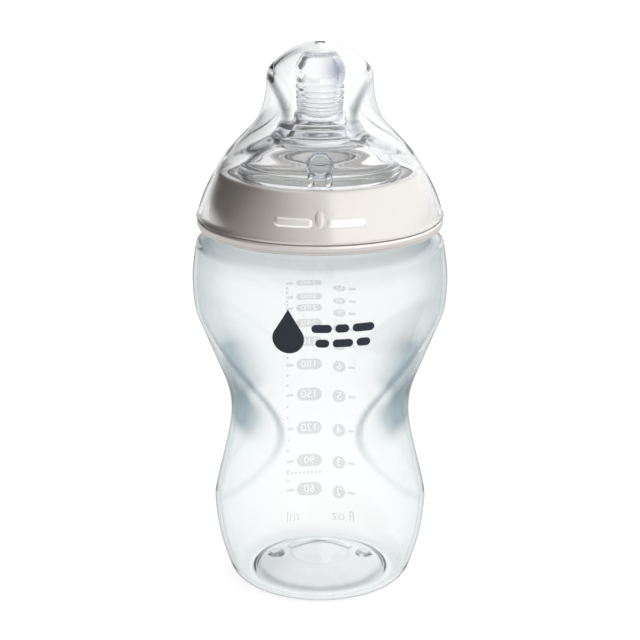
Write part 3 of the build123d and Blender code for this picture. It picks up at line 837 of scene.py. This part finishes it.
def scale_shapes():
    """Every printed shape of the scale as (loops, across, height), to be read from behind."""
    shapes = []
    for marks, across, tick, length in ((SCALE_MARKS, SCALE_ACROSS, SCALE_TICK, SCALE_BADGE),
                                        (OUNCE_MARKS, OUNCE_ACROSS, OUNCE_TICK, OUNCE_BADGE)):
        for value, height in marks.items():
            tall = BADGE_HEIGHT - BADGE_SHRINK_RATE * max(0, height - BADGE_SHRINK_START)
            ring = slot_ring(length, tall) if length > BADGE_HEIGHT else ellipse_ring(length, tall)
            squeeze = tall / BADGE_HEIGHT
            narrow = NARROW_NUMERALS.get(value, 1.0)
            numeral = [[(u * narrow, v * squeeze) for u, v in loop]
                       for loop in letter_loops(str(value), TEXT_SIZE)]
            shapes.append(([densely(ring)] + numeral, across, height))
            shapes.append(([box_ring(TICK_LENGTH, TICK_WIDTH)], tick, height))
    dot = ellipse_ring(DOT_SIZE, DOT_SIZE, steps=10)
    heights = list(SCALE_MARKS.values())
    for low, high in zip(heights, heights[1:]):
        for step in range(1, DOTS_BETWEEN + 1):
            shapes.append(([dot], DOT_ACROSS, low + (high - low) * step / (DOTS_BETWEEN + 1)))
    for step in range(DASH_COUNT):
        shapes.append(([dot], DOT_ACROSS + DASH_PITCH * step, DASH_HEIGHT))
    for unit, across in UNITS:
        shapes.append((letter_loops(unit, UNIT_SIZE), across, UNIT_HEIGHT))
    return shapes


def add_scale_print():
    """The scale's ink, as one flat piece on the outside of the back wall."""
    vertices, faces = [], []
    for loops, across, height in scale_shapes():
        flat, triangles = filled(loops)
        faces += [tuple(i + len(vertices) for i in triangle) for triangle in triangles]
        vertices += [on_back_wall(across - u, height + v) for u, v in flat]
    printed = new_object("scale_print", vertices, faces, scale_ink)
    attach(printed, "bottle")
    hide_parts("graduation_print")


add_scale_print()

# The motif is the CAD model's own shape, in ink
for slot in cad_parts["front_print"].material_slots:
    slot.material = motif_ink

# ---------------------------------------------------------------- stage, light and camera

FLOOR_GLOW, FLOOR_GLOW_REFLECTED, SEEN_THROUGH = 0.84, 0.29, 0.96
WALL_LEVELS = [(-180, 0.9), (-171, 0.88), (-156, (0.018, 0.013, 0.010)),
               (-102, (0.020, 0.014, 0.011)), (-62, (0.29, 0.26, 0.245)), (-20, (0.68, 0.665, 0.655)),
               (7, 0.82), (15, 1.22), (180, 1.22)]
CEILING_FROM, CEILING_TO, CEILING_LEVEL = 0.6, 0.95, 0.9
HORIZON_FROM, HORIZON_TO = 0.10, 0.0
HORIZON_LEVELS = [(-180, 0.95), (-172, 0.95), (-158, 0.4), (-128, 0.4), (-108, 0.95), (180, 0.95)]
FLOOR_SIZE, FLOOR_GREY = 40, 0.34
KEY_PLACE, KEY_AIM, KEY_SIZE, KEY_POWER = (1.3, -0.75, 0.75), (0, 0, 0.1), (1.5, 1.5), 6
CAMERA_PLACE, CAMERA_DOWN, LENS, SENSOR = (0, -0.55344, 0.25933), 17.28, 100.93, 36


def add_floor():
    """A pale light table: it glows evenly, more dimly to reflections, and takes a faint shadow."""
    bpy.ops.mesh.primitive_plane_add(size=FLOOR_SIZE)
    floor = bpy.context.object
    floor.name = "floor"
    material, nodes, links, shader, output = new_material("floor_glow")
    set_inputs(shader, Base_Color=(FLOOR_GREY, FLOOR_GREY, FLOOR_GREY, 1), Roughness=0.9,
               Specular_IOR_Level=0.0)
    path = nodes.new("ShaderNodeLightPath")
    direct = math_node(nodes, "MULTIPLY_ADD")
    direct.inputs[1].default_value = SEEN_THROUGH
    level = nodes.new("ShaderNodeMapRange")
    set_inputs(level, To_Min=FLOOR_GLOW_REFLECTED, To_Max=FLOOR_GLOW)
    glow = nodes.new("ShaderNodeEmission")
    set_inputs(glow, Color=(1, 1, 1, 1))
    both = nodes.new("ShaderNodeAddShader")
    links.new(path.outputs["Is Transmission Ray"], direct.inputs[0])
    links.new(path.outputs["Is Camera Ray"], direct.inputs[2])
    links.new(direct.outputs["Value"], level.inputs["Value"])
    links.new(level.outputs["Result"], glow.inputs["Strength"])
    links.new(shader.outputs["BSDF"], both.inputs[0])
    links.new(glow.outputs["Emission"], both.inputs[1])
    links.new(both.outputs["Shader"], output.inputs["Surface"])
    floor.data.materials.append(material)


def add_key_lamp():
    """A square lamp on the right, seen neither in reflections nor through the clear pieces."""
    data = bpy.data.lights.new("key_right", "AREA")
    data.shape = "RECTANGLE"
    data.size, data.size_y = KEY_SIZE
    data.energy = KEY_POWER
    lamp = bpy.data.objects.new("key_right", data)
    lamp.visible_glossy = lamp.visible_transmission = False
    lamp.location = KEY_PLACE
    lamp.rotation_euler = (Vector(KEY_AIM) - Vector(KEY_PLACE)).to_track_quat("-Z", "Y").to_euler()
    bpy.context.scene.collection.objects.link(lamp)


def add_world():
    """The studio: a white wall of light on the right, a dark one on the left, a bright ceiling and a
    pale horizon, with plain white behind for the camera. Its angles are in degrees, from the front
    (-Y) towards the right (+X)."""
    world = bpy.data.worlds.new("studio")
    bpy.context.scene.world = world
    world.use_nodes = True
    nodes, links = world.node_tree.nodes, world.node_tree.links

    place = nodes.new("ShaderNodeTexCoord")
    split = nodes.new("ShaderNodeSeparateXYZ")
    back = math_node(nodes, "MULTIPLY")
    back.inputs[1].default_value = -1
    turned = math_node(nodes, "ARCTAN2")
    around = nodes.new("ShaderNodeMapRange")
    set_inputs(around, From_Min=-pi, From_Max=pi)
    links.new(place.outputs["Generated"], split.inputs["Vector"])
    links.new(split.outputs["Y"], back.inputs[0])
    links.new(split.outputs["X"], turned.inputs[0])
    links.new(back.outputs["Value"], turned.inputs[1])
    links.new(turned.outputs["Value"], around.inputs["Value"])

    walls, horizon_walls = nodes.new("ShaderNodeValToRGB"), nodes.new("ShaderNodeValToRGB")
    for ramp, levels in ((walls, WALL_LEVELS), (horizon_walls, HORIZON_LEVELS)):
        fill_ramp(ramp.color_ramp, [((angle + 180) / 360, level) for angle, level in levels])
        links.new(around.outputs["Result"], ramp.inputs["Fac"])

    up, down = step_node(nodes, CEILING_FROM, CEILING_TO), step_node(nodes, HORIZON_FROM, HORIZON_TO)
    ceiling, horizon = colour_mix(nodes), colour_mix(nodes)
    set_inputs(ceiling, B=(CEILING_LEVEL, CEILING_LEVEL, CEILING_LEVEL, 1))
    links.new(split.outputs["Z"], up.inputs["Value"])
    links.new(up.outputs["Result"], ceiling.inputs["Factor"])
    links.new(walls.outputs["Color"], ceiling.inputs["A"])
    links.new(split.outputs["Z"], down.inputs["Value"])
    links.new(down.outputs["Result"], horizon.inputs["Factor"])
    links.new(ceiling.outputs["Result"], horizon.inputs["A"])
    links.new(horizon_walls.outputs["Color"], horizon.inputs["B"])

    path = nodes.new("ShaderNodeLightPath")
    seen = colour_mix(nodes)
    set_inputs(seen, B=(1, 1, 1, 1))
    links.new(path.outputs["Is Camera Ray"], seen.inputs["Factor"])
    links.new(horizon.outputs["Result"], seen.inputs["A"])
    links.new(seen.outputs["Result"], nodes["Background"].inputs["Color"])


def add_camera():
    """The photo's view, from the front and a little above."""
    data = bpy.data.cameras.new("camera")
    data.sensor_width = SENSOR
    data.lens = LENS
    data.clip_start = 0.01
    camera = bpy.data.objects.new("camera", data)
    camera.location = CAMERA_PLACE
    camera.rotation_euler = (radians(90 - CAMERA_DOWN), 0, 0)
    bpy.context.scene.collection.objects.link(camera)
    bpy.context.scene.camera = camera


def set_light_paths():
    """Enough bounces for light to pass through all the clear walls."""
    cycles = bpy.context.scene.cycles
    cycles.max_bounces = 28
    cycles.transmission_bounces = 24
    cycles.glossy_bounces = 8
    cycles.diffuse_bounces = 4
    cycles.transparent_max_bounces = 16


add_floor()
add_world()
add_key_lamp()
add_camera()
set_light_paths()
bpy.context.scene.view_settings.view_transform = "Standard"
